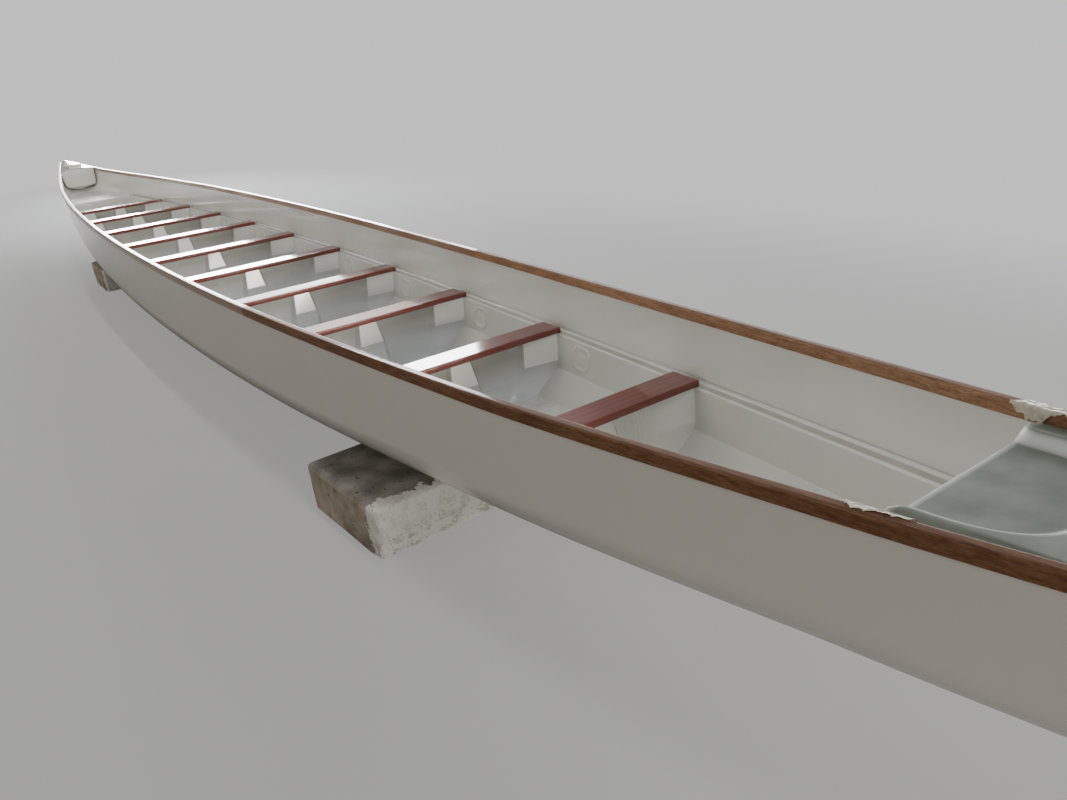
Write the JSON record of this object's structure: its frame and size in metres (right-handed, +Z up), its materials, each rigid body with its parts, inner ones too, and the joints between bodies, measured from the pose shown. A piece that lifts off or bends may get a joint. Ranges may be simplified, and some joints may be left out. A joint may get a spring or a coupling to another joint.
{
  "type": "dragon boat",
  "caption": "Long slender racing paddle boat: white moulded hull, hardwood gunwale rails, plank benches on moulded frames, dished bow deck, stern platform, resting on foam blocks.",
  "frame": {"origin": "on the floor under the middle of the hull's length and breadth, at the foam blocks' underside", "axes": "+X towards the bow, +Y to port, +Z up"},
  "size_m": [12.4896, 1.12, 0.7717],
  "materials": {
    "gelcoat": "moulded fibreglass, white gelcoat, glossy",
    "rail_wood": "oiled hardwood, satin",
    "seat_wood": "varnished red-brown hardwood, glossy",
    "foam": "rigid foam, weathered and dirty"
  },
  "bodies": {
    "root": {"hull_port_stern": "gelcoat", "hull_port_aft": "gelcoat", "hull_port_mid_aft": "gelcoat", "hull_port_mid_fore": "gelcoat", "hull_port_fore": "gelcoat", "hull_port_bow": "gelcoat", "hull_starboard_stern": "gelcoat", "hull_starboard_aft": "gelcoat", "hull_starboard_mid_aft": "gelcoat", "hull_starboard_mid_fore": "gelcoat", "hull_starboard_fore": "gelcoat", "hull_starboard_bow": "gelcoat", "side_tank_port_aft": "gelcoat", "side_tank_port_mid_aft": "gelcoat", "side_tank_port_mid_fore": "gelcoat", "side_tank_port_fore": "gelcoat", "rail_port_fore": "rail_wood", "rail_port_mid": "rail_wood", "rail_port_aft": "rail_wood", "side_tank_starboard_aft": "gelcoat", "side_tank_starboard_mid_aft": "gelcoat", "side_tank_starboard_mid_fore": "gelcoat", "side_tank_starboard_fore": "gelcoat", "rail_starboard_fore": "rail_wood", "rail_starboard_mid": "rail_wood", "rail_starboard_aft": "rail_wood", "seat_01": "seat_wood", "seat_frame_01": "gelcoat", "seat_02": "seat_wood", "seat_frame_02": "gelcoat", "seat_03": "seat_wood", "seat_frame_03": "gelcoat", "seat_04": "seat_wood", "seat_frame_04": "gelcoat", "seat_05": "seat_wood", "seat_frame_05": "gelcoat", "seat_06": "seat_wood", "seat_frame_06": "gelcoat", "seat_07": "seat_wood", "seat_frame_07": "gelcoat", "seat_08": "seat_wood", "seat_frame_08": "gelcoat", "seat_09": "seat_wood", "seat_frame_09": "gelcoat", "seat_10": "seat_wood", "seat_frame_10": "gelcoat", "bow_deck": "gelcoat", "stern_deck": "gelcoat", "bow_bulkhead": "gelcoat", "stern_bulkhead": "gelcoat", "stern_platform": "gelcoat", "head_pad": "gelcoat", "tail_pad": "gelcoat", "block_fore": "foam", "block_aft": "foam"}
  },
  "joints": []
}
